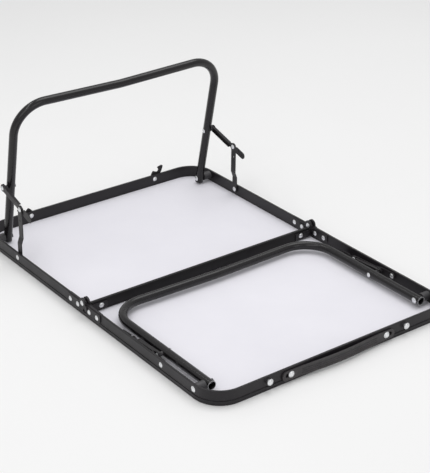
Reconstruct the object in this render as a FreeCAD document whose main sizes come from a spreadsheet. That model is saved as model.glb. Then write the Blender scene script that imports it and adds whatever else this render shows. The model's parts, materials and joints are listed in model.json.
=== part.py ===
import FreeCAD, Part
import math
import os
import Sketcher
from FreeCAD import Placement, Rotation, Vector

# Suitcase folding table, upside down: two leaves lie on their top faces, side by side along Y.
# X runs along the hinge line, Y across it, Z up. The floor and both top faces are Z = 0.
# leaf_a is the +Y leaf and carries the raised leg, leaf_b is the -Y leaf with its leg folded.

doc = FreeCAD.newDocument("folding_table")
sheet = doc.addObject("Spreadsheet::Sheet", "Sizes")

SIZES = {
    # leaves
    "leaf_width": 600,
    "leaf_depth": 445,
    "corner_radius": 60,
    "rim_height": 31,
    "rim_thickness": 5,
    "bead_height": 9,
    "groove_height": 2,
    "groove_depth": 1.4,
    "rim_wall": 1.2,
    "edge_round": 0.8,
    "leaf_gap": 0.5,
    "panel_bottom": 1,
    "panel_thickness": 3.2,
    "panel_grip": 2,
    "panel_play": 0.2,
    # hinges
    "pivot_rise": 0.4,
    "plate_thickness": 2,
    "plate_length": 64,
    "plate_bottom": 11.5,
    "plate_top": 29.5,
    "plate_round": 4,
    "ear_radius": 11,
    "ear_layer": 2.4,
    "ear_relief": 12.2,
    "rivet_near": 22,
    "rivet_far": 51,
    "rivet_level": 19,
    # centre bar and its brackets
    "bar_start": -7,
    "bar_thickness": 7,
    "bar_bottom": 5.6,
    "bar_top": 29.2,
    "bar_end": 287.4,
    "bracket_start": 249,
    "bracket_reach": 34,
    "bracket_bottom": 8,
    "bracket_low_top": 19.5,
    "bracket_top": 24.2,
    "bar_rivet_x": 263.5,
    "bar_rivet_level": 17,
    # legs
    "leg_pivot_y": 383,
    "leg_pivot_level": 20,
    "leg_x": 265,
    "tube_radius": 9.5,
    "tube_wall": 1.3,
    "leg_length": 343,
    "leg_bend": 70,
    "leg_dip": 7,
    "dip_bend": 60,
    "tube_overhang": 11,
    "spacer_radius": 9.5,
    "leg_pin_radius": 3,
    "leg_a_opening": 76.5,
    # braces
    "brace_foot_span": 106,
    "brace_leg_span": 139,
    "upper_brace_length": 80,
    "lower_brace_length": 113,
    "brace_width": 16,
    "upper_brace_waist": 12.5,
    "link_lug_radius": 8,
    "knee_lug_radius": 9,
    "upper_brace_inner": 284,
    "upper_brace_thickness": 1.8,
    "brace_flange_depth": 4.6,
    "brace_flange_thickness": 1.5,
    "flange_start": 6,
    "flange_stop": 10,
    "knee_sag": 4.9,
    "tail_length": 46,
    "tail_width": 16,
    "tail_start": 12,
    "tail_lap": 6,
    "waist_taper": 1.5,
    "rib_first": 20,
    "rib_step": 6,
    "rib_width": 2.4,
    "rib_half_length": 5,
    "rib_rise": 0.8,
    "lower_brace_inner": 286.3,
    "lower_brace_thickness": 2,
    "brace_jog": 5,
    "jog_start": 32,
    "jog_stop": 46,
    "detent_offset": 27,
    "detent_radius": 2.2,
    "brace_bush_radius": 4.4,
    # fasteners
    "rivet_radius": 2.5,
    "rivet_head_radius": 5.6,
    "rivet_head_height": 2.3,
    "pin_head_radius": 6.2,
    "small_head_radius": 5,
    "stud_radius": 4,
    "stud_head_radius": 7,
    "stud_head_height": 3.4,
    "hole_play": 0.06,
    "slip": 0.3,
    # latches
    "latch_x": 172,
    "latch_level": 20.5,
    "latch_thickness": 2.5,
    "latch_tilt_left": 52,
    "latch_tilt_right": 38,
    "latch_base_radius": 9,
    "latch_notch_radius": 4.3,
    "latch_nose": 38,
    "latch_lip": 12.5,
    "latch_lip_level": 12,
    "catch_level": 20.5,
    "catch_gap": 6,
    # carry handle
    "handle_half_length": 141,
    "handle_height": 20,
    "handle_level": 16,
    "handle_stud_level": 17.5,
    "handle_end_thickness": 3.4,
    "handle_grip_thickness": 4.5,
    "handle_bow": 5.5,
    "handle_bow_start": 105,
    "handle_bow_stop": 25,
    "handle_bow_radius": 600,
    "handle_toe_radius": 200,
    "handle_rib_depth": 0.8,
    "handle_rib_width": 1.4,
    "handle_rib_end": 95,
    "handle_rib_pitch": 4.4,
    "handle_rib_clearance": 30,
    "handle_stud_x": 120,
    "handle_slot_inboard": 7.3,
    "handle_slot_outboard": 14,
}
for row, (alias, number) in enumerate(SIZES.items(), start=1):
    sheet.set(f"A{row}", alias.replace("_", " "))
    sheet.set(f"B{row}", str(number))
    sheet.setAlias(f"B{row}", alias)
doc.recompute()

# Lengths worked out from the driving sizes, as expressions on the sheet.
S = "Sizes."
HALF_WIDTH = f"({S}leaf_width / 2)"
RIM_INNER = f"({S}leaf_width / 2 - {S}rim_thickness)"
PANEL_TOP = f"({S}panel_bottom + {S}panel_thickness)"
PIVOT_LEVEL = f"({S}rim_height + {S}pivot_rise)"
HOLE = f"({S}rivet_radius + {S}hole_play)"
PIN_HOLE = f"({S}leg_pin_radius + {S}hole_play)"
FOOT_Y = f"({S}leg_pivot_y - {S}brace_foot_span)"
HANDLE_PROUD = f"({S}slip + {S}handle_bow + {S}handle_grip_thickness)"
LATCH_PROUD = f"({S}latch_thickness + 2 * {S}slip + {S}rivet_head_height)"
# The hinge line stands a little off Y = 0, so that the handle and the latches balance about it.
HINGE_Y = f"(({HANDLE_PROUD} - {LATCH_PROUD}) / 2)"

SIDES = (("left", -1), ("right", 1))
LEAVES = (("a", 1), ("b", -1))


def value(expression):
    """The number that an expression on the sheet gives now."""
    result = sheet.evalExpression(str(expression))
    return float(getattr(result, "Value", result))


def place(thing, x="0", y="0", z="0", turn=None):
    """Put an object at a point given by expressions, turned by a fixed rotation."""
    if turn is not None:
        thing.Placement = Placement(Vector(), turn)
    for axis, expression in zip("xyz", (x, y, z)):
        thing.setExpression(f".Placement.Base.{axis}", str(expression))
    return thing


def hidden(kind, name, **sizes):
    """A building block of the document, its sizes bound to the sheet."""
    thing = doc.addObject(kind, name)
    for key, expression in sizes.items():
        thing.setExpression(key, str(expression))
    return thing


def cylinder(name, radius, height):
    return hidden("Part::Cylinder", name, Radius=radius, Height=height)


def box(name, low, size):
    """A box from its low corner and its three sizes."""
    block = hidden("Part::Box", name, Length=size[0], Width=size[1], Height=size[2])
    return place(block, *low)


def fuse(name, shapes):
    joined = doc.addObject("Part::MultiFuse", name)
    joined.Shapes = shapes
    joined.Refine = True
    return joined


def cut(name, base, tool):
    result = doc.addObject("Part::Cut", name)
    result.Base = base
    result.Tool = tool
    return result


def group(name, shapes):
    bundle = doc.addObject("Part::Compound", name)
    bundle.Links = shapes
    return bundle


# ---------------------------------------------------------------- sketches

def plane_of(body, role):
    return next(plane for plane in body.Origin.OriginFeatures if plane.Role == role)


def sketch_in(body, name, role, offset="0"):
    """A sketch on one of its body's own origin planes, moved along the plane's normal."""
    sketch = body.newObject("Sketcher::SketchObject", name)
    sketch.AttachmentSupport = [(plane_of(body, role), "")]
    sketch.MapMode = "FlatFace"
    sketch.setExpression(".AttachmentOffset.Base.z", str(offset))
    return sketch


def hold(sketch, constraint, expression):
    """Add a dimension and bind it to the sheet."""
    index = sketch.addConstraint(constraint)
    sketch.renameConstraint(index, f"size_{index}")
    sketch.setExpression(f"Constraints.size_{index}", str(expression))


def hold_point(sketch, geometry, end, x, y):
    hold(sketch, Sketcher.Constraint("DistanceX", -1, 1, geometry, end, value(x)), x)
    hold(sketch, Sketcher.Constraint("DistanceY", -1, 1, geometry, end, value(y)), y)


def circle(sketch, x, y, radius):
    centre = Vector(value(x), value(y), 0)
    ring = sketch.addGeometry(Part.Circle(centre, Vector(0, 0, 1), value(radius)), False)
    hold_point(sketch, ring, 3, x, y)
    hold(sketch, Sketcher.Constraint("Radius", ring, value(radius)), radius)


def corner_arc(before, corner, after, radius):
    """The arc that rounds a corner, with the ends that meet the two lines."""
    inward = (before - corner).normalize()
    outward = (after - corner).normalize()
    half = inward.getAngle(outward) / 2
    reach = radius / math.tan(half)
    start = corner + inward * reach
    stop = corner + outward * reach
    centre = corner + (inward + outward).normalize() * (radius / math.sin(half))
    turn = (corner - before).cross(after - corner).z
    first, last = (start, stop) if turn > 0 else (stop, start)
    angles = [math.atan2(point.y - centre.y, point.x - centre.x) for point in (first, last)]
    ring = Part.Circle(centre, Vector(0, 0, 1), radius)
    ends = (1, 2) if turn > 0 else (2, 1)
    return Part.ArcOfCircle(ring, angles[0], angles[1]), start, stop, ends


def outline(sketch, corners, closed=True):
    """Straight lines through corners (x, y, radius or None), rounded where a radius is given."""
    count = len(corners)
    points = [Vector(value(x), value(y), 0) for x, y, _ in corners]
    arcs = {}
    starts = list(points)
    stops = list(points)
    for i, (_, _, radius) in enumerate(corners):
        if radius is None:
            continue
        arc, stop, start, ends = corner_arc(
            points[i - 1], points[i], points[(i + 1) % count], value(radius))
        arcs[i] = (sketch.addGeometry(arc, False), ends)
        stops[i] = stop
        starts[i] = start
    lines = {}
    for i in range(count if closed else count - 1):
        line = Part.LineSegment(starts[i], stops[(i + 1) % count])
        lines[i] = sketch.addGeometry(line, False)
    for i, (x, y, radius) in enumerate(corners):
        before = lines.get((i - 1) % count) if closed or i > 0 else None
        after = lines.get(i)
        if radius is None:
            if before is not None and after is not None:
                sketch.addConstraint(Sketcher.Constraint("Coincident", before, 2, after, 1))
            if after is not None:
                hold_point(sketch, after, 1, x, y)
            else:
                hold_point(sketch, before, 2, x, y)
            continue
        arc, ends = arcs[i]
        sketch.addConstraint(Sketcher.Constraint("Tangent", before, 2, arc, ends[0]))
        sketch.addConstraint(Sketcher.Constraint("Tangent", arc, ends[1], after, 1))
        hold(sketch, Sketcher.Constraint("Radius", arc, value(radius)), radius)
        mark = sketch.addGeometry(Part.Point(points[i]), True)
        hold_point(sketch, mark, 1, x, y)
        sketch.addConstraint(Sketcher.Constraint("PointOnObject", mark, 1, before))
        sketch.addConstraint(Sketcher.Constraint("PointOnObject", mark, 1, after))


# ---------------------------------------------------------------- PartDesign features

def new_body(label):
    return doc.addObject("PartDesign::Body", label)


def pad(body, sketch, length, name, both_ways=False):
    feature = body.newObject("PartDesign::Pad", name)
    feature.Profile = sketch
    feature.Midplane = both_ways
    feature.setExpression("Length", str(length))
    return feature


def drill(body, sketch, name, both_ways=True, backwards=False):
    """A pocket through everything; it has to take material away."""
    doc.recompute()
    before = body.Shape.Volume
    feature = body.newObject("PartDesign::Pocket", name)
    feature.Profile = sketch
    feature.Type = "ThroughAll"
    feature.Midplane = both_ways
    feature.Reversed = backwards
    doc.recompute()
    if body.Shape.Volume >= before - 1e-6:
        raise RuntimeError(f"{name} takes nothing away from {body.Label}")
    return feature


def pipe(body, profile, path, name):
    feature = body.newObject("PartDesign::AdditivePipe", name)
    feature.Profile = profile
    feature.Spine = path
    return feature


# ---------------------------------------------------------------- fasteners

def dome(name, radius, height):
    """A shallow domed head on Z = 0: the cap of a sphere."""
    ball = f"(({radius} * {radius} + {height} * {height}) / (2 * {height}))"
    cap = hidden("Part::Sphere", name, Radius=ball, Angle1=f"asin(({ball} - {height}) / {ball})")
    return place(cap, z=f"-({ball} - {height})")


AXES = {
    "+x": Rotation(Vector(0, 1, 0), 90),
    "-x": Rotation(Vector(0, 1, 0), -90),
    "+y": Rotation(Vector(1, 0, 0), -90),
    "-y": Rotation(Vector(1, 0, 0), 90),
}


def rivet(name, axis, at, grip, head=f"{S}rivet_head_radius", shank=f"{S}rivet_radius", tail=True):
    """A rivet whose head sits at a point and looks along axis, over a stack grip thick."""
    height = f"{S}rivet_head_height"
    pieces = [dome(f"{name}_head", head, height)]
    pieces.append(place(cylinder(f"{name}_shank", shank, grip), z=f"-({grip})"))
    if tail:
        under = dome(f"{name}_tail", head, height)
        under.Placement = Placement(Vector(), Rotation(Vector(1, 0, 0), 180))
        ball = f"(({head} * {head} + {height} * {height}) / (2 * {height}))"
        under.setExpression(".Placement.Base.z", f"{ball} - {height} - ({grip})")
        pieces.append(under)
    return place(fuse(name, pieces), *at, turn=AXES[axis])


def side_axis(side):
    return "+x" if side > 0 else "-x"


# ---------------------------------------------------------------- leaves

def leaf_y(leaf, distance):
    """Y of a point that lies a distance from the hinge line, on one leaf."""
    return f"({HINGE_Y} + {leaf} * ({distance}))"


def seat_leaf(body, leaf):
    """Leaf pieces are drawn for the +Y leaf; the other leaf's are turned half round Z."""
    turn = Rotation(Vector(0, 0, 1), 0 if leaf > 0 else 180)
    return place(body, y=HINGE_Y, turn=turn)


def make_rim(name, leaf, end_holes):
    """The U-shaped edge section: beaded outside, boxed inside, slotted for the panel."""
    body = new_body(f"rim_{name}")
    path = sketch_in(body, f"rim_{name}_path", "XY_Plane")
    outline(path, [
        (f"-{HALF_WIDTH}", f"{S}leaf_gap", None),
        (f"-{HALF_WIDTH}", f"{S}leaf_depth", f"{S}corner_radius"),
        (HALF_WIDTH, f"{S}leaf_depth", f"{S}corner_radius"),
        (HALF_WIDTH, f"{S}leaf_gap", None),
    ], closed=False)
    section = sketch_in(body, f"rim_{name}_section", "XZ_Plane", f"-{S}leaf_gap")
    outer = f"-{HALF_WIDTH}"
    inner = f"-{RIM_INNER}"
    groove = f"-({HALF_WIDTH} - {S}groove_depth)"
    slot = f"-({RIM_INNER} + {S}panel_grip + {S}panel_play)"
    slot_low = f"({S}panel_bottom - {S}panel_play)"
    slot_high = f"({PANEL_TOP} + {S}panel_play)"
    groove_top = f"({S}bead_height + {S}groove_height)"
    edge = f"{S}edge_round"
    outline(section, [
        (outer, "0", edge),
        (inner, "0", None),
        (inner, slot_low, None),
        (slot, slot_low, None),
        (slot, slot_high, None),
        (inner, slot_high, None),
        (inner, f"{S}rim_height", edge),
        (outer, f"{S}rim_height", edge),
        (outer, groove_top, edge),
        (groove, groove_top, None),
        (groove, f"{S}bead_height", None),
        (outer, f"{S}bead_height", edge),
    ])
    wall = f"{S}rim_wall"
    outline(section, [
        (f"{outer} + {wall}", f"{groove_top} + {wall}", None),
        (f"{inner} - {wall}", f"{groove_top} + {wall}", None),
        (f"{inner} - {wall}", f"{S}rim_height - {wall}", None),
        (f"{outer} + {wall}", f"{S}rim_height - {wall}", None),
    ])
    pipe(body, section, path, f"rim_{name}_sweep")
    side = sketch_in(body, f"rim_{name}_side_holes", "YZ_Plane")
    for distance in (f"{S}rivet_near", f"{S}rivet_far"):
        circle(side, distance, f"{S}rivet_level", HOLE)
    circle(side, FOOT_Y, f"{S}leg_pivot_level", HOLE)
    circle(side, f"{S}leg_pivot_y", f"{S}leg_pivot_level", PIN_HOLE)
    drill(body, side, f"rim_{name}_side_drilling")
    end = sketch_in(body, f"rim_{name}_end_holes", "XZ_Plane")
    for x, level, radius in end_holes:
        for sign in (-1, 1):
            circle(end, f"{sign} * {x}", level, radius)
    drill(body, end, f"rim_{name}_end_drilling")
    return seat_leaf(body, leaf)


def make_panel(name, leaf):
    """The thin board, its edges held in the rim's slot."""
    body = new_body(f"panel_{name}")
    sketch = sketch_in(body, f"panel_{name}_outline", "XY_Plane", f"{S}panel_bottom")
    edge = f"({RIM_INNER} + {S}panel_grip)"
    back = f"({S}leaf_depth - {S}rim_thickness + {S}panel_grip)"
    rounding = f"({S}corner_radius - {S}rim_thickness + {S}panel_grip)"
    outline(sketch, [
        (f"-{edge}", f"{S}leaf_gap", None),
        (edge, f"{S}leaf_gap", None),
        (edge, back, rounding),
        (f"-{edge}", back, rounding),
    ])
    pad(body, sketch, f"{S}panel_thickness", f"panel_{name}_board")
    return seat_leaf(body, leaf)


# ---------------------------------------------------------------- hinges

def make_hinge_plate(name, leaf, side, word, outside):
    """A riveted plate on one face of the side rim, with an ear round the hinge pin.

    The +Y leaf's ear lies in the plate's own layer; the other leaf's ear is stepped one layer
    away from the rim, so that the two lap.
    """
    label = f"hinge_plate_{'outer' if outside else 'inner'}_{name}_{word}"
    thick = f"{S}plate_thickness"
    face = HALF_WIDTH if outside else f"({RIM_INNER} - {thick})"
    away = 1 if outside else -1
    stepped = leaf < 0
    start = f"{S}ear_relief" if stepped else "1.5"
    flat = new_body(f"{label}_flat")
    sketch = sketch_in(flat, f"{label}_outline", "YZ_Plane", face)
    outline(sketch, [
        (start, f"{S}plate_bottom", None),
        (f"{S}plate_length", f"{S}plate_bottom", f"{S}plate_round"),
        (f"{S}plate_length", f"{S}plate_top", f"{S}plate_round"),
        (start, f"{S}plate_top", None),
    ])
    pad(flat, sketch, thick, f"{label}_pad")
    layer = f"({face} + {away} * {S}ear_layer)" if stepped else face
    if not stepped:
        # this ear laps the other leaf's rim, so it is thinned on the side that faces it
        layer = f"({face} + {S}slip)" if outside else face
        thick = f"({thick} - {S}slip)"
    ear = place(cylinder(f"{label}_ear", f"{S}ear_radius", thick),
                layer, "0", PIVOT_LEVEL, Rotation(Vector(0, 1, 0), 90))
    low = f"({PIVOT_LEVEL} - {S}ear_radius)"
    tall = f"({S}plate_top - {low})"
    if stepped:
        tongue = box(f"{label}_tongue", (layer, "0", low), (thick, f"{start} + 4", tall))
        step_low = face if outside else layer
        step = box(f"{label}_step", (step_low, start, low),
                   (f"{S}ear_layer + {thick}", "4", tall))
        pieces = [flat, ear, tongue, step]
    else:
        tongue = box(f"{label}_tongue", (layer, "0", low), (thick, f"{start} + 4", tall))
        pieces = [flat, ear, tongue]
    blank = fuse(f"{label}_blank", pieces)
    holes = []
    for index, (y, z, radius) in enumerate((
            (f"{S}rivet_near", f"{S}rivet_level", HOLE),
            (f"{S}rivet_far", f"{S}rivet_level", HOLE),
            ("0", PIVOT_LEVEL, HOLE))):
        bore = cylinder(f"{label}_bore_{index}", radius, "30")
        holes.append(place(bore, f"{face} - 15", y, z, Rotation(Vector(0, 1, 0), 90)))
    plate = cut(label, blank, fuse(f"{label}_bores", holes))
    flip_x = side < 0
    # mirrored for the left side and for the -Y leaf
    return mirrored(plate, label, flip_x, leaf < 0)


def mirrored(thing, label, flip_x, flip_y):
    """Mirror a finished piece into its own corner of the table and seat it on the hinge line."""
    result = thing
    for flip, normal, tag in ((flip_x, Vector(1, 0, 0), "mirror_x"), (flip_y, Vector(0, 1, 0), "mirror_y")):
        if flip:
            mirror = doc.addObject("Part::Mirroring", f"{label}_{tag}")
            mirror.Source = result
            mirror.Normal = normal
            result = mirror
    if result is not thing:
        thing.Label = f"{label}_drawn"
        result.Label = label
    return place(result, y=HINGE_Y)


def make_hinges():
    nodes = []
    for name, leaf in LEAVES:
        for word, side in SIDES:
            for outside in (True, False):
                nodes.append(make_hinge_plate(name, leaf, side, word, outside))
    plate = f"{S}plate_thickness"
    for name, leaf in LEAVES:
        rivets = []
        for word, side in SIDES:
            for tag, distance in (("near", f"{S}rivet_near"), ("far", f"{S}rivet_far")):
                under = f"{plate}" if name == "a" and tag == "near" else "0"
                grip = f"({S}rim_thickness + 2 * {plate} + {under})"
                at = (f"{side} * ({HALF_WIDTH} + {plate})", leaf_y(leaf, distance), f"{S}rivet_level")
                rivets.append(rivet(f"hinge_rivet_{name}_{word}_{tag}", side_axis(side), at, grip))
        nodes.append(group(f"hinge_rivets_{name}", rivets))
    pins = []
    stack = f"({S}ear_layer + {plate})"
    for word, side in SIDES:
        outer = (f"{side} * ({HALF_WIDTH} + {stack} + {S}slip)", HINGE_Y, PIVOT_LEVEL)
        pins.append(rivet(f"hinge_pin_outer_{word}", side_axis(side), outer,
                          stack, tail=False))
        inner = (f"{side} * ({RIM_INNER} - {stack} - {S}slip)", HINGE_Y, PIVOT_LEVEL)
        pins.append(rivet(f"hinge_pin_inner_{word}", side_axis(-side), inner,
                          stack, tail=False))
    nodes.append(group("hinge_pins", pins))
    return nodes


# ---------------------------------------------------------------- centre bar

def make_centre_bar():
    nodes = []
    body = new_body("centre_bar")
    section = sketch_in(body, "centre_bar_section", "YZ_Plane", f"-{S}bar_end")
    start = f"{S}bar_start"
    stop = f"({start} + {S}bar_thickness)"
    edge = f"{S}edge_round"
    outline(section, [
        (start, f"{S}bar_bottom", edge),
        (stop, f"{S}bar_bottom", edge),
        (stop, f"{S}bar_top", edge),
        (start, f"{S}bar_top", edge),
    ])
    pad(body, section, f"2 * {S}bar_end", "centre_bar_length")
    holes = sketch_in(body, "centre_bar_holes", "XZ_Plane")
    for _, side in SIDES:
        circle(holes, f"{side} * {S}bar_rivet_x", f"{S}bar_rivet_level", HOLE)
    drill(body, holes, "centre_bar_drilling")
    nodes.append(place(body, y=HINGE_Y))
    plate = f"{S}plate_thickness"
    front = f"({start} - {plate})"
    outer = f"({RIM_INNER} - {plate})"
    for word, side in SIDES:
        label = f"bar_bracket_{word}"
        low = f"{S}bracket_bottom"
        low_height = f"({S}bracket_low_top - {low})"
        height = f"({S}bracket_top - {low})"
        flat = box(f"{label}_flat", (f"{S}bracket_start", front, low),
                   (f"{outer} - {S}bracket_start", plate, low_height))
        face = box(f"{label}_face", (f"{S}bracket_start", front, low),
                   (f"{S}bar_end - 1 - {S}bracket_start", plate, height))
        leg = box(f"{label}_leg", (f"{outer} - {plate}", front, low),
                  (plate, f"{S}bracket_reach - {front}", low_height))
        flag = box(f"{label}_flag", (f"{outer} - {plate}", f"{S}ear_relief", low),
                   (plate, f"{S}bracket_reach - {S}ear_relief", f"{height} + 1"))
        blank = fuse(f"{label}_blank", [flat, face, leg, flag])
        along_y = place(cylinder(f"{label}_bore_y", HOLE, "30"), f"{S}bar_rivet_x", "10",
                        f"{S}bar_rivet_level", Rotation(Vector(1, 0, 0), 90))
        along_x = place(cylinder(f"{label}_bore_x", HOLE, "20"), f"{outer} - 10",
                        f"{S}rivet_near", f"{S}rivet_level", Rotation(Vector(0, 1, 0), 90))
        bracket = cut(label, blank, fuse(f"{label}_bores", [along_y, along_x]))
        nodes.append(mirrored(bracket, label, side < 0, False))
    rivets = []
    for word, side in SIDES:
        at = (f"{side} * {S}bar_rivet_x", f"({HINGE_Y} + {front})", f"{S}bar_rivet_level")
        grip = f"({plate} + {S}bar_thickness)"
        rivets.append(rivet(f"bar_rivet_{word}", "-y", at, grip))
    nodes.append(group("bar_rivets", rivets))
    return nodes


# ---------------------------------------------------------------- legs

def leg_turn(leaf, opening):
    """Rotation that lays a leg drawn along +Y back over its leaf, opened by some degrees."""
    fold = Rotation(Vector(0, 0, 1), 180 if leaf > 0 else 0)
    return Rotation(Vector(1, 0, 0), -opening if leaf > 0 else opening).multiply(fold)


def make_leg(name, leaf, opening):
    """U of round tube; the foot bar is bent a little towards the table at its middle."""
    nodes = []
    body = new_body(f"leg_frame_{name}")
    path = sketch_in(body, f"leg_{name}_path", "XY_Plane")
    outline(path, [
        (f"-{S}leg_x", f"-{S}tube_overhang", None),
        (f"-{S}leg_x", f"{S}leg_length", f"{S}leg_bend"),
        ("0", f"{S}leg_length - {S}leg_dip", f"{S}dip_bend"),
        (f"{S}leg_x", f"{S}leg_length", f"{S}leg_bend"),
        (f"{S}leg_x", f"-{S}tube_overhang", None),
    ], closed=False)
    section = sketch_in(body, f"leg_{name}_section", "XZ_Plane", f"{S}tube_overhang")
    circle(section, f"-{S}leg_x", "0", f"{S}tube_radius")
    circle(section, f"-{S}leg_x", "0", f"({S}tube_radius - {S}tube_wall)")
    pipe(body, section, path, f"leg_{name}_tube")
    holes = sketch_in(body, f"leg_{name}_holes", "YZ_Plane")
    circle(holes, "0", "0", PIN_HOLE)
    circle(holes, f"{S}brace_leg_span", "0", HOLE)
    drill(body, holes, f"leg_{name}_drilling")
    turn = leg_turn(leaf, opening)
    pivot = (leaf_y(leaf, f"{S}leg_pivot_y"), f"{S}leg_pivot_level")
    nodes.append(place(body, "0", *pivot, turn))

    knuckle = turn.multVec(Vector(0, value(f"{S}brace_leg_span"), 0))
    at = (f"({pivot[0]} + {knuckle.y})", f"({pivot[1]} + {knuckle.z})")
    rivets = []
    for word, side in SIDES:
        label = f"brace_bush_{name}_{word}"
        length = f"({S}upper_brace_inner - {S}slip - {S}leg_x)"
        blank = cylinder(f"{label}_rod", f"{S}brace_bush_radius", length)
        tube = cylinder(f"{label}_tube", f"{S}tube_radius", "40")
        place(tube, y="-20", turn=Rotation(Vector(1, 0, 0), -90))
        bore = place(cylinder(f"{label}_bore", HOLE, "60"), z="-5")
        bush = cut(label, blank, fuse(f"{label}_saddle", [tube, bore]))
        facing = AXES[side_axis(side)]
        tilt = Rotation(Vector(1, 0, 0), -opening if leaf > 0 else opening)
        nodes.append(place(bush, f"{side} * {S}leg_x", *at, tilt.multiply(facing)))
        head = (f"{side} * ({S}upper_brace_inner + {S}upper_brace_thickness + {S}slip)", *at)
        grip = (f"({S}upper_brace_inner + {S}upper_brace_thickness + {S}slip"
                f" - {S}leg_x + {S}tube_radius + {S}slip)")
        rivets.append(rivet(f"brace_rivet_{name}_{word}", side_axis(side), head, grip,
                            head=f"{S}small_head_radius"))
    nodes.append(group(f"leg_brace_rivets_{name}", rivets))

    rivets = []
    for word, side in SIDES:
        label = f"leg_spacer_{name}_{word}"
        start = f"({S}leg_x + {S}tube_radius + {S}slip)"
        length = f"({RIM_INNER} - 0.5 - {start})"
        rod = cylinder(f"{label}_rod", f"{S}spacer_radius", length)
        bore = place(cylinder(f"{label}_bore", PIN_HOLE, "60"), z="-5")
        spacer = cut(label, rod, bore)
        nodes.append(place(spacer, f"{side} * {start}", *pivot, AXES[side_axis(side)]))
        head = (f"{side} * {HALF_WIDTH}", *pivot)
        grip = f"({HALF_WIDTH} - {S}leg_x + {S}tube_radius + {S}slip)"
        rivets.append(rivet(f"leg_pivot_{name}_{word}", side_axis(side), head, grip,
                            head=f"{S}pin_head_radius", shank=f"{S}leg_pin_radius"))
    nodes.append(group(f"leg_pivot_rivets_{name}", rivets))
    return nodes


# ---------------------------------------------------------------- braces

def brace_angles(opening):
    """Angles of the lower and upper brace, from flat towards the leg, for a leg opening."""
    foot = value(f"{S}brace_foot_span")
    reach = value(f"{S}brace_leg_span")
    upper = value(f"{S}upper_brace_length")
    lower = value(f"{S}lower_brace_length")
    bend = math.radians(opening)
    knuckle = (reach * math.cos(bend), reach * math.sin(bend))
    across = (foot - knuckle[0], -knuckle[1])
    span = math.hypot(*across)
    along = (upper ** 2 - lower ** 2 + span ** 2) / (2 * span)
    side = math.sqrt(max(upper ** 2 - along ** 2, 0))
    unit = (across[0] / span, across[1] / span)
    knee = (knuckle[0] + unit[0] * along - unit[1] * side,
            knuckle[1] + unit[1] * along + unit[0] * side)
    lower_angle = math.degrees(math.atan2(knee[1], knee[0] - foot))
    upper_angle = math.degrees(math.atan2(knee[1] - knuckle[1], knee[0] - knuckle[0]))
    if opening == 0:
        # doubled back flat, the pair hangs at the knee by the play in its rivets
        sag = value(f"{S}knee_sag")
        lower_angle -= math.degrees(math.asin(sag / lower))
        upper_angle -= math.degrees(math.asin(sag / upper))
    return lower_angle, upper_angle


def find_edges(shape, wanted):
    return [f"Edge{i}" for i, edge in enumerate(shape.Edges, start=1) if wanted(edge)]


def make_upper_brace(label):
    """Channel strip from the leg to the knee, running on past it as a thumb tail."""
    body = new_body(label)
    half = f"({S}upper_brace_waist / 2)"
    skin = f"{S}upper_brace_thickness"
    end = f"({S}upper_brace_length + {S}tail_start + {S}tail_lap)"
    web = sketch_in(body, f"{label}_web", "YZ_Plane", f"{S}upper_brace_inner")
    outline(web, [
        ("0", f"-{half}", None),
        (end, f"-{half} + {S}waist_taper", None),
        (end, f"{half} - {S}waist_taper", None),
        ("0", half, None),
    ])
    pad(body, web, skin, f"{label}_web_pad")
    lugs = sketch_in(body, f"{label}_lugs", "YZ_Plane", f"{S}upper_brace_inner")
    circle(lugs, "0", "0", f"{S}link_lug_radius")
    circle(lugs, f"{S}upper_brace_length", "0", f"{S}knee_lug_radius")
    pad(body, lugs, skin, f"{label}_lug_pad")
    tail = sketch_in(body, f"{label}_tail", "YZ_Plane", f"{S}upper_brace_inner")
    wide = f"({S}tail_width / 2)"
    low = f"({S}upper_brace_length + {S}tail_start)"
    high = f"({S}upper_brace_length + {S}tail_length)"
    outline(tail, [
        (low, f"-{wide}", "2"),
        (high, f"-{wide}", f"{wide} - 0.2"),
        (high, wide, f"{wide} - 0.2"),
        (low, wide, "2"),
    ])
    pad(body, tail, skin, f"{label}_tail_pad")
    flange = sketch_in(body, f"{label}_flanges", "YZ_Plane",
                       f"({S}upper_brace_inner - {S}brace_flange_depth)")
    start = f"-{S}flange_start"
    stop = f"({S}upper_brace_length - {S}flange_stop)"
    inner = f"({half} - {S}brace_flange_thickness)"
    for sign in (-1, 1):
        outline(flange, [
            (start, f"{sign} * {half}", None),
            (stop, f"{sign} * {half}", None),
            (stop, f"{sign} * {inner}", None),
            (start, f"{sign} * {inner}", None),
        ])
    pad(body, flange, f"({S}brace_flange_depth + {S}upper_brace_thickness)", f"{label}_flange_pad")
    ribs = sketch_in(body, f"{label}_ribs", "YZ_Plane", f"({S}upper_brace_inner - {S}rib_rise)")
    reach = f"{S}rib_half_length"
    for index in range(4):
        low = f"({S}upper_brace_length + {S}rib_first + {index} * {S}rib_step)"
        high = f"({low} + {S}rib_width)"
        outline(ribs, [
            (low, f"-{reach}", None),
            (high, f"-{reach}", None),
            (high, reach, None),
            (low, reach, None),
        ])
    pad(body, ribs, f"({S}rib_rise + {skin} / 2)", f"{label}_rib_pad")
    holes = sketch_in(body, f"{label}_holes", "YZ_Plane")
    circle(holes, "0", "0", HOLE)
    circle(holes, f"{S}upper_brace_length", "0", HOLE)
    drill(body, holes, f"{label}_drilling")
    return body


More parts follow.
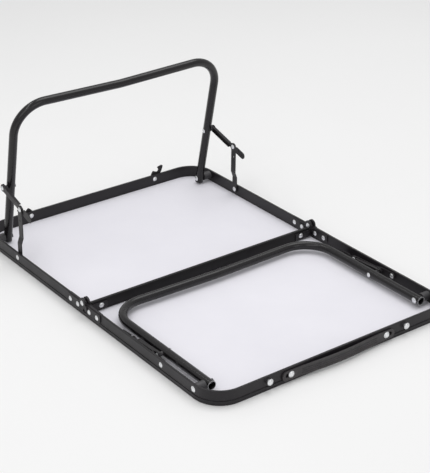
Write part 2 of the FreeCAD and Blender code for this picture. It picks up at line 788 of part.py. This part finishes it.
def make_lower_brace(label):
    """Flat strip with a joggle near its foot, so that it folds past the leg rivet's head."""
    body = new_body(label)
    half = f"({S}brace_width / 2)"
    end = f"({S}lower_brace_length + {half})"
    near = f"{S}lower_brace_inner"
    far = f"({near} + {S}brace_jog)"
    thick = f"{S}lower_brace_thickness"
    side = sketch_in(body, f"{label}_side", "XY_Plane")
    outline(side, [
        (far, f"-{half}", None),
        (f"{far} + {thick}", f"-{half}", None),
        (f"{far} + {thick}", f"{S}jog_start", "3"),
        (f"{near} + {thick}", f"{S}jog_stop", "3"),
        (f"{near} + {thick}", end, None),
        (near, end, None),
        (near, f"{S}jog_stop", "3"),
        (far, f"{S}jog_start", "3"),
    ])
    pad(body, side, f"{S}brace_width", f"{label}_strip", both_ways=True)
    doc.recompute()
    strip = body.Tip
    ends = (-value(half), value(end))

    def at_end(edge):
        first, last = edge.Vertexes[0].Point, edge.Vertexes[-1].Point
        across = abs(first.x - last.x) > 1 and abs(first.y - last.y) < 1e-6
        return across and any(abs(first.y - limit) < 1e-6 for limit in ends)

    rounding = body.newObject("PartDesign::Fillet", f"{label}_round_ends")
    rounding.Base = (strip, find_edges(strip.Shape, at_end))
    rounding.setExpression("Radius", f"{half} - 0.2")
    holes = sketch_in(body, f"{label}_holes", "YZ_Plane")
    circle(holes, "0", "0", HOLE)
    circle(holes, f"{S}lower_brace_length", "0", HOLE)
    circle(holes, f"{S}lower_brace_length - {S}detent_offset", "0", f"{S}detent_radius")
    drill(body, holes, f"{label}_drilling")
    return body


def brace_turn(leaf, angle):
    """Rotation for a brace drawn along +Y on the right: flat over the leaf, then raised."""
    fold = Rotation(Vector(0, 0, 1), 180 if leaf > 0 else 0)
    return Rotation(Vector(1, 0, 0), -angle if leaf > 0 else angle).multiply(fold)


def make_braces(name, leaf, opening):
    nodes = []
    lower_angle, upper_angle = brace_angles(opening)
    bend = math.radians(opening)
    reach = value(f"{S}brace_leg_span")
    pivot_y = leaf_y(leaf, f"{S}leg_pivot_y")
    level = f"{S}leg_pivot_level"

    def spot(along, up):
        """A point along the leaf towards the hinge from the leg pivot, and above it."""
        return f"({pivot_y} - {leaf} * {along})", f"({level} + {up})"

    def swung(along, up, length, angle):
        """The far hole of a brace that starts from a point and rises by an angle."""
        rise = math.radians(angle)
        return spot(along + length * math.cos(rise), up + length * math.sin(rise))

    foot_along = value(f"{S}brace_foot_span")
    foot = spot(foot_along, 0)
    knuckle_along, knuckle_up = reach * math.cos(bend), reach * math.sin(bend)
    knuckle = spot(knuckle_along, knuckle_up)
    upper_knee = swung(knuckle_along, knuckle_up, value(f"{S}upper_brace_length"), upper_angle)
    lower_knee = swung(foot_along, 0, value(f"{S}lower_brace_length"), lower_angle)
    # A piece drawn at +X is turned half round Z for the +Y leaf, which takes it to -X.
    drawn_side = -1 if leaf > 0 else 1
    foot_rivets = []
    for word, side in SIDES:
        upper = make_upper_brace(f"upper_brace_{name}_{word}")
        lower = make_lower_brace(f"lower_brace_{name}_{word}")
        for piece, angle, at in ((upper, upper_angle, knuckle), (lower, lower_angle, foot)):
            turn = brace_turn(leaf, angle)
            if side == drawn_side:
                nodes.append(place(piece, "0", *at, turn))
            else:
                label = piece.Label
                mirror = doc.addObject("Part::Mirroring", f"{label}_mirror_x")
                mirror.Source = piece
                mirror.Normal = Vector(1, 0, 0)
                piece.Label = f"{label}_drawn"
                mirror.Label = label
                nodes.append(place(mirror, "0", *at, turn))
        web = f"{S}upper_brace_inner"
        skin = f"{S}upper_brace_thickness"
        inner = rivet(f"knee_rivet_inner_{name}_{word}", side_axis(-side),
                      (f"{side} * {web}", *upper_knee), skin, tail=False)
        strip = f"({S}lower_brace_inner + {S}lower_brace_thickness)"
        outer = rivet(f"knee_rivet_outer_{name}_{word}", side_axis(side),
                      (f"{side} * {strip}", *lower_knee), f"{S}lower_brace_thickness", tail=False)
        nodes.extend((inner, outer))
        link_face = f"({S}lower_brace_inner + {S}brace_jog)"
        grip = f"({HALF_WIDTH} - {link_face} + {S}slip)"
        pin = rivet(f"brace_foot_rivet_{name}_{word}", side_axis(side),
                    (f"{side} * {HALF_WIDTH}", *foot), grip)
        collar_low = f"({link_face} + {S}lower_brace_thickness + {S}slip)"
        collar = cylinder(f"brace_foot_collar_{name}_{word}_rod", f"{S}rivet_head_radius",
                          f"({RIM_INNER} - {collar_low})")
        place(collar, f"{side} * {collar_low}", *foot, AXES[side_axis(side)])
        foot_rivets.append(fuse(f"brace_foot_{name}_{word}", [pin, collar]))
    nodes.append(group(f"brace_foot_rivets_{name}", foot_rivets))
    return nodes


# ---------------------------------------------------------------- latches and catches

def make_latch(word, side):
    """Flat hook: a round base on the rivet, an arm, a notch for the catch stud and a nose."""
    label = f"latch_{word}"
    body = new_body(label)
    seat = f"({S}rim_height - {S}latch_level + {S}rim_height - {S}catch_level + 2 * {S}pivot_rise)"
    notch = f"{S}latch_notch_radius"
    base = f"{S}latch_base_radius"
    blank = sketch_in(body, f"{label}_outline", "XZ_Plane")
    outline(blank, [
        (f"-{base}", f"-{base}", f"{base} - 0.3"),
        (base, f"-{base}", f"{base} - 0.3"),
        (base, f"{seat} + 4", "10"),
        (f"{base} - 4", f"{S}latch_nose", "2"),
        (f"{base} - 8", f"{S}latch_nose", "2"),
        ("-6", f"{seat} + {notch} + 3.5", "1.5"),
        ("-6", f"{seat} + {notch}", "0.8"),
        ("0", f"{seat} + {notch}", f"{notch} - 0.1"),
        ("0", f"{seat} - {notch}", f"{notch} - 0.1"),
        (f"-{S}latch_lip", f"{S}latch_lip_level + 2.5", "1.5"),
        (f"-{S}latch_lip", f"{S}latch_lip_level - 4", "3"),
    ])
    pad(body, blank, f"{S}latch_thickness", f"{label}_pad")
    holes = sketch_in(body, f"{label}_hole", "XZ_Plane")
    circle(holes, "0", "0", HOLE)
    drill(body, holes, f"{label}_drilling")
    return body


def make_latches():
    nodes = []
    outer = f"({HINGE_Y} + {S}leaf_depth)"
    rivets = []
    for word, side in SIDES:
        body = make_latch(word, side)
        at = (f"{side} * {S}latch_x", f"({outer} + {S}slip + {S}latch_thickness)", f"{S}latch_level")
        tilt = Rotation(Vector(0, 1, 0), side * value(f"{S}latch_tilt_{word}"))
        if side > 0:
            nodes.append(place(body, *at, tilt))
        else:
            label = body.Label
            mirror = doc.addObject("Part::Mirroring", f"{label}_mirror_x")
            mirror.Source = body
            mirror.Normal = Vector(1, 0, 0)
            body.Label = f"{label}_drawn"
            mirror.Label = label
            nodes.append(place(mirror, *at, tilt))
        head = (at[0], f"({outer} + 2 * {S}slip + {S}latch_thickness)", at[2])
        grip = f"({S}rim_thickness + 2 * {S}slip + {S}latch_thickness)"
        rivets.append(rivet(f"latch_rivet_{word}", "+y", head, grip))
    nodes.append(group("latch_rivets", rivets))
    return nodes


def make_studs(label, x, level, gap):
    """Headed studs on the near rim: a thick shank outside, a rivet tail inside."""
    studs = []
    face = f"({HINGE_Y} - {S}leaf_depth)"
    for word, side in SIDES:
        name = f"{label}_{word}"
        at = (f"{side} * {x}", f"({face} - {gap})", level)
        grip = f"({gap} + {S}rim_thickness)"
        head = dome(f"{name}_head", f"{S}stud_head_radius", f"{S}stud_head_height")
        neck = place(cylinder(f"{name}_neck", f"{S}stud_radius", gap), z=f"-({gap})")
        pin = rivet(f"{name}_pin", "+y", ("0", "0", "0"), grip)
        pin.Placement = Placement()
        stud = fuse(name, [head, neck, pin])
        studs.append(place(stud, *at, AXES["-y"]))
    return group(label, studs)


# ---------------------------------------------------------------- handle

def cut_handle_groove(body, index):
    """One of the three lengthwise grooves in the grip's outer face, at an even depth."""
    span = f"{S}handle_rib_end"
    start = f"{S}handle_bow_start"
    stop = f"{S}handle_bow_stop"
    soft = f"{S}handle_bow_radius"
    rise = f"({S}handle_bow + {S}handle_grip_thickness - {S}handle_end_thickness)"
    floor = f"({S}handle_rib_depth - {S}leaf_depth - {S}slip - {S}handle_end_thickness)"
    entry = f"({floor} - {rise} * ({start} - {span}) / ({start} - {stop}))"
    outside = f"({floor} - {S}handle_rib_clearance)"
    level = f"({S}handle_level + {index} * {S}handle_rib_pitch - {S}handle_rib_width / 2)"
    name = f"handle_groove_{index + 1}"
    groove = sketch_in(body, name, "XY_Plane", level)
    outline(groove, [
        (f"-{span}", entry, None),
        (f"-{stop}", f"{floor} - {rise}", soft),
        (stop, f"{floor} - {rise}", soft),
        (span, entry, None),
        (span, outside, None),
        (f"-{span}", outside, None),
    ])
    doc.recompute()
    before = body.Shape.Volume
    pocket = body.newObject("PartDesign::Pocket", f"{name}_cut")
    pocket.Profile = groove
    pocket.setExpression("Length", f"{S}handle_rib_width")
    pocket.Reversed = True
    doc.recompute()
    if body.Shape.Volume >= before - 1:
        raise RuntimeError("a handle groove takes nothing away")


def make_handle():
    """Moulded strap, flat under its two studs and bowed away from the rim between them."""
    body = new_body("handle_strap")
    face = f"-({S}leaf_depth + {S}slip)"
    thin = f"{S}handle_end_thickness"
    thick = f"{S}handle_grip_thickness"
    bow = f"{S}handle_bow"
    long = f"{S}handle_half_length"
    start = f"{S}handle_bow_start"
    stop = f"{S}handle_bow_stop"
    soft = f"{S}handle_bow_radius"
    toe = f"{S}handle_toe_radius"
    plan = sketch_in(body, "handle_plan", "XY_Plane",
                     f"({S}handle_level - {S}handle_height / 2)")
    inner = [(f"-{long}", face, None), (f"-{start}", face, toe),
             (f"-{stop}", f"{face} - {bow}", soft), (stop, f"{face} - {bow}", soft),
             (start, face, toe), (long, face, None)]
    outer = [(long, f"{face} - {thin}", None), (start, f"{face} - {thin}", toe),
             (stop, f"{face} - {bow} - {thick}", soft), (f"-{stop}", f"{face} - {bow} - {thick}", soft),
             (f"-{start}", f"{face} - {thin}", toe), (f"-{long}", f"{face} - {thin}", None)]
    outline(plan, inner + outer)
    pad(body, plan, f"{S}handle_height", "handle_blank")
    doc.recompute()
    blank = body.Tip
    reach = value(long)

    def at_end(edge):
        first, last = edge.Vertexes[0].Point, edge.Vertexes[-1].Point
        across = abs(first.y - last.y) > 1 and abs(first.z - last.z) < 1e-6
        return across and min(abs(abs(p.x) - reach) for p in (first, last)) < 1e-6

    rounding = body.newObject("PartDesign::Fillet", "handle_round_ends")
    rounding.Base = (blank, find_edges(blank.Shape, at_end))
    rounding.setExpression("Radius", f"{S}handle_height / 2 - 0.3")
    for index in (-1, 0, 1):
        cut_handle_groove(body, index)
    slots = sketch_in(body, "handle_slots", "XZ_Plane")
    half = f"({S}stud_radius + {S}slip)"
    for side in (-1, 1):
        low = f"{side} * ({S}handle_stud_x - {S}handle_slot_inboard)"
        high = f"{side} * ({S}handle_stud_x + {S}handle_slot_outboard)"
        outline(slots, [
            (low, f"{S}handle_stud_level - {half}", f"{half} - 0.1"),
            (high, f"{S}handle_stud_level - {half}", f"{half} - 0.1"),
            (high, f"{S}handle_stud_level + {half}", f"{half} - 0.1"),
            (low, f"{S}handle_stud_level + {half}", f"{half} - 0.1"),
        ])
    drill(body, slots, "handle_slotting")
    return place(body, y=HINGE_Y)


# ---------------------------------------------------------------- assembly

LATCH_HOLES = [(f"{S}latch_x", f"{S}latch_level", HOLE)]
STUD_HOLES = [(f"{S}latch_x", f"{S}catch_level", HOLE),
              (f"{S}handle_stud_x", f"{S}handle_stud_level", HOLE)]
OPENINGS = {"a": value(f"{S}leg_a_opening"), "b": 0.0}

nodes = []
for name, leaf in LEAVES:
    nodes.append(make_rim(name, leaf, LATCH_HOLES if name == "a" else STUD_HOLES))
    nodes.append(make_panel(name, leaf))
nodes += make_hinges()
nodes += make_centre_bar()
for name, leaf in LEAVES:
    nodes += make_leg(name, leaf, OPENINGS[name])
    nodes += make_braces(name, leaf, OPENINGS[name])
nodes += make_latches()
nodes.append(make_studs("catch_studs", f"{S}latch_x", f"{S}catch_level", f"{S}catch_gap"))
HANDLE_GAP = f"({S}handle_end_thickness + 2 * {S}slip)"
nodes.append(make_studs("handle_studs", f"{S}handle_stud_x", f"{S}handle_stud_level", HANDLE_GAP))
nodes.append(make_handle())
doc.recompute()

for thing in doc.Objects:
    if "Invalid" in thing.State or "Error" in thing.State:
        raise RuntimeError(f"{thing.Label} did not compute: {thing.State}")
for node in nodes:
    if node.Shape.isNull() or not node.Shape.isValid():
        raise RuntimeError(f"{node.Label} has no valid shape")

os.makedirs("parts", exist_ok=True)
for node in nodes:
    node.Shape.exportStep(f"parts/{node.Label}.step")
print(len(nodes), "nodes written")
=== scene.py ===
import json
import math

import bpy
from mathutils import Matrix, Vector


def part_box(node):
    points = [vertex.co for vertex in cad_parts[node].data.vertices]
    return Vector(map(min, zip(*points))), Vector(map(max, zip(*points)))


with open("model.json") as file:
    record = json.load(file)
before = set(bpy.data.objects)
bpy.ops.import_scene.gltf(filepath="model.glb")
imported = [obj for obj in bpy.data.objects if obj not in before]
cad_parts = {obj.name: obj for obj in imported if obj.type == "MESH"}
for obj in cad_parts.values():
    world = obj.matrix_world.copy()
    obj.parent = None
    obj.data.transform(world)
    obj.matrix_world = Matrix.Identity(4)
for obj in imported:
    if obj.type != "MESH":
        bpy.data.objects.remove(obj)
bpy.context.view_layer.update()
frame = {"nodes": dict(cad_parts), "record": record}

# ---------------------------------------------------------------- sizes, in metres

MM = 0.001
LEG_OPENINGS = {"leg_frame_a": math.radians(76.5), "leg_frame_b": 0.0}
CUT_DEPTH = 0.3 * MM
CUT_BLUR = 0.1 * MM
FLOOR_HALF = 40.0
FLOOR_LEVEL = -0.5 * MM
PLATE_REACH = 26.5 * MM
# The middle of a hinge plate lies PLATE_REACH beyond the line that the leaves fold on.
HINGE_Y = sum(corner.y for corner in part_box("hinge_plate_outer_a_left")) / 2 - PLATE_REACH

# ---------------------------------------------------------------- colours

WORN_AND_HIGHLIT_COATING = (0.22, 0.21, 0.22)
BARE_METAL = (0.42, 0.42, 0.43)
WORN_STRAP = (0.16, 0.15, 0.16)
DUST_LIFT = 2.6
NOISE_MIDDLE = (0.3, 0.7)

# ---------------------------------------------------------------- camera

CAMERA_AZIMUTH = math.radians(-36.03)
CAMERA_ELEVATION = math.radians(26.58)
CAMERA_ROLL = math.radians(-0.49)
CAMERA_DISTANCE = 3.1942
CAMERA_TARGET = Vector((0.12724, 0.13172 + HINGE_Y, 0.0))
CAMERA_LENS = 107.0
CAMERA_SENSOR = 36.0
CAMERA_CLIP = (0.05, 60.0)


def make_camera():
    """A long lens at the height of someone standing over the table."""
    back = Vector((math.sin(CAMERA_AZIMUTH) * math.cos(CAMERA_ELEVATION),
                   -math.cos(CAMERA_AZIMUTH) * math.cos(CAMERA_ELEVATION),
                   math.sin(CAMERA_ELEVATION)))
    data = bpy.data.cameras.new("camera")
    data.lens = CAMERA_LENS
    data.sensor_width = CAMERA_SENSOR
    data.clip_start, data.clip_end = CAMERA_CLIP
    camera = bpy.data.objects.new("camera", data)
    turn = back.to_track_quat("Z", "Y").to_matrix().to_4x4()
    roll = Matrix.Rotation(CAMERA_ROLL, 4, "Z")
    camera.matrix_world = Matrix.Translation(CAMERA_TARGET + back * CAMERA_DISTANCE) @ turn @ roll
    bpy.context.scene.collection.objects.link(camera)
    bpy.context.scene.camera = camera


# ---------------------------------------------------------------- node helpers

class Nodes:
    """A material's node tree, with short calls for the nodes that the finishes share."""

    def __init__(self, name):
        self.material = bpy.data.materials.new(name)
        self.material.use_nodes = True
        self.tree = self.material.node_tree
        self.tree.nodes.clear()
        self.shader = self.add("ShaderNodeBsdfPrincipled")
        output = self.add("ShaderNodeOutputMaterial")
        self.link(self.shader.outputs["BSDF"], output.inputs["Surface"])
        self.place = self.add("ShaderNodeTexCoord").outputs["Object"]

    def add(self, kind, **settings):
        node = self.tree.nodes.new(kind)
        for key, setting in settings.items():
            setattr(node, key, setting)
        return node

    def link(self, source, target):
        self.tree.links.new(source, target)

    def stretched(self, scale):
        """Object coordinates, scaled by a different amount along each axis."""
        mapping = self.add("ShaderNodeMapping")
        mapping.inputs["Scale"].default_value = scale
        self.link(self.place, mapping.inputs["Vector"])
        return mapping.outputs["Vector"]

    def noise(self, scale, detail=4.0, roughness=0.55, where=None):
        node = self.add("ShaderNodeTexNoise")
        node.inputs["Scale"].default_value = scale
        node.inputs["Detail"].default_value = detail
        node.inputs["Roughness"].default_value = roughness
        self.link(where or self.place, node.inputs["Vector"])
        return node.outputs["Fac"]

    def mottle(self, scale, detail, low=0.0, high=1.0, roughness=0.55):
        """Noise with its middle range spread over the span from low to high."""
        return self.fit(self.noise(scale, detail, roughness), *NOISE_MIDDLE, low, high)

    def fit(self, value, low, high, new_low, new_high):
        """A value taken from one span to another, and held at the ends of the new one."""
        node = self.add("ShaderNodeMapRange")
        node.clamp = True
        for key, number in (("From Min", low), ("From Max", high), ("To Min", new_low), ("To Max", new_high)):
            node.inputs[key].default_value = number
        self.link(value, node.inputs["Value"])
        return node.outputs["Result"]

    def combine(self, operation, first, second):
        """One arithmetic step; each operand is a number or a socket."""
        node = self.add("ShaderNodeMath", operation=operation)
        for index, item in enumerate((first, second)):
            if isinstance(item, (int, float)):
                node.inputs[index].default_value = item
            else:
                self.link(item, node.inputs[index])
        return node.outputs[0]

    def blend(self, factor, first, second):
        """A colour between two others; each is a colour or a socket."""
        node = self.add("ShaderNodeMix", data_type="RGBA")
        self.link(factor, node.inputs["Factor"])
        for key, item in (("A", first), ("B", second)):
            socket = next(s for s in node.inputs if s.name == key and s.type == "RGBA")
            if isinstance(item, tuple):
                socket.default_value = (*item, 1.0)
            else:
                self.link(item, socket)
        return next(s for s in node.outputs if s.type == "RGBA")

    def nearer_than(self, direction, distance):
        """1 where a point's distance along a direction is below a limit, else 0."""
        dot = self.add("ShaderNodeVectorMath", operation="DOT_PRODUCT")
        self.link(self.place, dot.inputs[0])
        dot.inputs[1].default_value = direction
        return self.fit(dot.outputs["Value"], distance - CUT_BLUR, distance + CUT_BLUR, 1.0, 0.0)

    def edges(self, radius, low, high):
        """1 along sharp edges, fading to 0 on flat faces."""
        bevel = self.add("ShaderNodeBevel", samples=4)
        bevel.inputs["Radius"].default_value = radius
        true_normal = self.add("ShaderNodeNewGeometry").outputs["Normal"]
        dot = self.add("ShaderNodeVectorMath", operation="DOT_PRODUCT")
        self.link(bevel.outputs["Normal"], dot.inputs[0])
        self.link(true_normal, dot.inputs[1])
        return self.fit(dot.outputs["Value"], high, low, 0.0, 1.0)

    def bumps(self, *layers):
        """Height layers, each (socket, distance in metres, strength), stacked into the normal."""
        before = None
        for height, distance, strength in layers:
            bump = self.add("ShaderNodeBump")
            bump.inputs["Strength"].default_value = strength
            bump.inputs["Distance"].default_value = distance
            self.link(height, bump.inputs["Height"])
            if before is not None:
                self.link(before, bump.inputs["Normal"])
            before = bump.outputs["Normal"]
        self.link(before, self.shader.inputs["Normal"])

    def finish(self, colour, roughness, metallic=0.0, coat=0.0, coat_roughness=0.2, specular=0.5):
        self.link(colour, self.shader.inputs["Base Color"])
        self.link(roughness, self.shader.inputs["Roughness"])
        self.shader.inputs["Metallic"].default_value = metallic
        self.shader.inputs["Coat Weight"].default_value = coat
        self.shader.inputs["Coat Roughness"].default_value = coat_roughness
        self.shader.inputs["Specular IOR Level"].default_value = specular
        return self.material


# ---------------------------------------------------------------- finishes

def coated_metal(name, dark, light, sheen, wear_and_highlight=0.35, grain=0.9, gloss=0.06, cut_end=None):
    """Powder coat: fine orange peel, cloudy tone, a little dust, and edges painted paler, partly as worn
    coating and partly as painted highlight.

    cut_end is a direction and a distance along it: what lies nearer than that is bare sawn metal.
    """
    nodes = Nodes(name)
    cloud = nodes.mottle(9.0, 5.0)
    speck = nodes.fit(nodes.noise(420.0, 3.0), 0.52, 0.72, 0.0, 1.0)
    base = nodes.blend(cloud, dark, light)
    dust = tuple(min(1.0, channel * DUST_LIFT) for channel in light)
    dusty = nodes.blend(nodes.combine("MULTIPLY", speck, 0.25), base, dust)
    # Paler edges: partly worn coating, partly painted highlight along the sharp edges.
    patchy = nodes.fit(nodes.noise(130.0, 4.0), 0.42, 0.66, 0.0, wear_and_highlight)
    pale_edges = nodes.combine("MULTIPLY", nodes.edges(0.6 * MM, 0.80, 0.995), patchy)
    colour = nodes.blend(pale_edges, dusty, WORN_AND_HIGHLIT_COATING)
    if cut_end is not None:
        colour = nodes.blend(nodes.nearer_than(*cut_end), colour, BARE_METAL)
    uneven = nodes.mottle(26.0, 6.0, sheen - 0.06, sheen + 0.08)
    roughness = nodes.combine("ADD", uneven, nodes.combine("MULTIPLY", speck, 0.06))
    peel = nodes.noise(1100.0, 2.0)
    dents = nodes.noise(45.0, 2.0)
    nodes.bumps((peel, 0.25 * MM, 0.10 * grain), (dents, 0.8 * MM, 0.05))
    return nodes.finish(colour, roughness, coat=gloss, coat_roughness=0.14, specular=0.30)


def rim_finish():
    # Edge paling raised well above the worn coating: painted highlight along the rim edges.
    return coated_metal("rim_coating", (0.009, 0.008, 0.0095), (0.015, 0.013, 0.0155), 0.36, wear_and_highlight=0.7)


def shaded_bar_finish():
    """The cross bar is a flatter black than the rims, and painted darker as shade, since its near face
    catches less light.
    """
    return coated_metal("bar_coating_painted_shade", (0.003, 0.0025, 0.003), (0.006, 0.005, 0.006), 0.46,
                        wear_and_highlight=0.3, gloss=0.0)


def tube_finish(leg):
    """Glossier coat, with the sawn ends of the tube left bare."""
    tube = frame["nodes"][leg]
    opening = LEG_OPENINGS[leg]
    toward = 1.0 if leg == "leg_frame_b" else -1.0
    along = Vector((0.0, toward * math.cos(opening), math.sin(opening)))
    end = min(along.dot(vertex.co) for vertex in tube.data.vertices)
    return coated_metal(f"{leg}_coating", (0.006, 0.005, 0.006), (0.010, 0.009, 0.010), 0.22,
                        wear_and_highlight=0.2, grain=0.5, gloss=0.22, cut_end=(along, end + CUT_DEPTH))


def plate_finish():
    return coated_metal("plate_coating", (0.010, 0.009, 0.010), (0.018, 0.016, 0.018), 0.42, wear_and_highlight=0.5)


def brace_finish():
    # Edge paling raised well above the worn coating: painted highlight along the brace edges.
    return coated_metal("brace_coating", (0.011, 0.010, 0.011), (0.020, 0.018, 0.020), 0.40, wear_and_highlight=0.8)


def panel_finish():
    """Pale laminate: faint mottling, fine grain, a few scuffs, slightly wavy under the light."""
    nodes = Nodes("panel_laminate")
    cloud = nodes.mottle(3.2, 6.0, roughness=0.6)
    grain = nodes.fit(nodes.noise(700.0, 2.0), 0.35, 0.65, 0.0, 1.0)
    base = nodes.blend(cloud, (0.785, 0.775, 0.830), (0.830, 0.820, 0.872))
    fine = nodes.blend(nodes.combine("MULTIPLY", grain, 0.10), base, (0.70, 0.69, 0.75))
    scuff = nodes.noise(5.0, 9.0, 0.75, nodes.stretched((1.0, 14.0, 1.0)))
    mark = nodes.fit(scuff, 0.66, 0.78, 0.0, 0.18)
    colour = nodes.blend(mark, fine, (0.66, 0.65, 0.70))
    roughness = nodes.mottle(14.0, 7.0, 0.42, 0.54)
    nodes.bumps((nodes.noise(900.0, 2.0), 0.1 * MM, 0.10), (nodes.noise(7.0, 2.0), 1.5 * MM, 0.05))
    return nodes.finish(colour, roughness, specular=0.4)


def zinc_finish():
    """Bright zinc plate: pale, nearly smooth, with faint turning marks and dull patches."""
    nodes = Nodes("zinc_plate")
    cloud = nodes.mottle(160.0, 4.0)
    patch = nodes.fit(nodes.noise(420.0, 5.0), 0.52, 0.70, 0.0, 0.5)
    base = nodes.blend(cloud, (0.74, 0.75, 0.77), (0.88, 0.89, 0.90))
    colour = nodes.blend(patch, base, (0.55, 0.55, 0.56))
    roughness = nodes.mottle(300.0, 5.0, 0.22, 0.42)
    nodes.bumps((nodes.noise(600.0, 3.0), 0.2 * MM, 0.10))
    return nodes.finish(colour, roughness, metallic=0.85, specular=0.5)


def bush_finish():
    """Moulded bush: dull, slightly grained."""
    nodes = Nodes("bush_plastic")
    cloud = nodes.mottle(60.0, 4.0)
    colour = nodes.blend(cloud, (0.030, 0.029, 0.032), (0.052, 0.050, 0.054))
    roughness = nodes.mottle(200.0, 4.0, 0.42, 0.58)
    nodes.bumps((nodes.noise(1500.0, 2.0), 0.2 * MM, 0.15))
    return nodes.finish(colour, roughness)


def handle_finish():
    """Moulded strap: fine leathery grain over the lengthwise grooves."""
    nodes = Nodes("strap_plastic")
    cloud = nodes.mottle(40.0, 5.0)
    base = nodes.blend(cloud, (0.024, 0.021, 0.023), (0.040, 0.036, 0.038))
    patchy = nodes.fit(nodes.noise(150.0, 4.0), 0.40, 0.64, 0.0, 0.4)
    pale_edges = nodes.combine("MULTIPLY", nodes.edges(0.8 * MM, 0.80, 0.99), patchy)
    colour = nodes.blend(pale_edges, base, WORN_STRAP)
    roughness = nodes.mottle(220.0, 5.0, 0.40, 0.56)
    nodes.bumps((nodes.noise(1300.0, 3.0), 0.3 * MM, 0.18))
    return nodes.finish(colour, roughness, specular=0.45)


def dress_nodes():
    """Give every CAD node its own finish, or else that of its material slot."""
    finishes = {
        "rim_metal": rim_finish(),
        "plate_metal": plate_finish(),
        "brace_metal": brace_finish(),
        "panel_board": panel_finish(),
        "zinc_rivet": zinc_finish(),
        "bush_plastic": bush_finish(),
        "handle_plastic": handle_finish(),
    }
    own = {leg: tube_finish(leg) for leg in LEG_OPENINGS}
    # Painted shade: the centre bar gets a darker copy of the coating.
    own["centre_bar"] = shaded_bar_finish()
    for part in frame["record"]["subparts"]:
        node = frame["nodes"][part["node"]]
        finish = own.get(part["node"]) or finishes[part["material_slot"]]
        for index in range(len(node.material_slots)):
            node.material_slots[index].material = finish
        if not node.material_slots:
            node.data.materials.append(finish)


# ---------------------------------------------------------------- studio

WORLD_COLOUR = (0.965, 0.965, 0.965, 1.0)
WORLD_STRENGTH = 0.635

# name, place, aim, size in metres, watts, width of a strip
LAMPS = [
    ("key", (1.2, 0.2, 3.6), (0.0, -0.3, 0.0), 2.8, 44.0, None),
    ("fill", (-2.6, -2.0, 2.4), (-0.1, -0.3, 0.1), 2.8, 21.0, None),
    ("front", (0.2, -3.6, 1.6), (0.0, -0.3, 0.1), 1.8, 9.0, None),
    ("strip", (-0.9, 0.5, 2.2), (0.0, 0.0, 0.1), 2.6, 8.5, 0.10),
]


def make_floor():
    """Seamless pale sheet, lying just under the rims."""
    nodes = Nodes("floor_paper")
    cloud = nodes.mottle(0.8, 3.0)
    colour = nodes.blend(cloud, (0.86, 0.86, 0.86), (0.875, 0.875, 0.875))
    roughness = nodes.mottle(5.0, 3.0, 0.78, 0.86)
    nodes.bumps((nodes.noise(400.0, 2.0), 0.2 * MM, 0.05))
    paper = nodes.finish(colour, roughness, specular=0.2)
    mesh = bpy.data.meshes.new("floor")
    corners = [(x * FLOOR_HALF, y * FLOOR_HALF, FLOOR_LEVEL) for x, y in ((-1, -1), (1, -1), (1, 1), (-1, 1))]
    mesh.from_pydata(corners, [], [(0, 1, 2, 3)])
    mesh.materials.append(paper)
    floor = bpy.data.objects.new("floor", mesh)
    bpy.context.scene.collection.objects.link(floor)


def make_light(name, where, towards, size, power, width):
    """A soft round lamp, or a narrow strip of light when a width is given."""
    data = bpy.data.lights.new(name, "AREA")
    data.shape = "RECTANGLE" if width else "DISK"
    data.size = size
    if width:
        data.size_y = width
    data.energy = power
    lamp = bpy.data.objects.new(name, data)
    aim = (Vector(towards) - Vector(where)).to_track_quat("-Z", "Y")
    lamp.matrix_world = Matrix.Translation(where) @ aim.to_matrix().to_4x4()
    bpy.context.scene.collection.objects.link(lamp)


def make_studio():
    world = bpy.data.worlds.new("studio")
    world.use_nodes = True
    background = world.node_tree.nodes["Background"]
    background.inputs["Color"].default_value = WORLD_COLOUR
    background.inputs["Strength"].default_value = WORLD_STRENGTH
    bpy.context.scene.world = world
    bpy.context.scene.view_settings.view_transform = "Standard"
    make_floor()
    for lamp in LAMPS:
        make_light(*lamp)


make_camera()
dress_nodes()
make_studio()

bpy.context.view_layer.update()
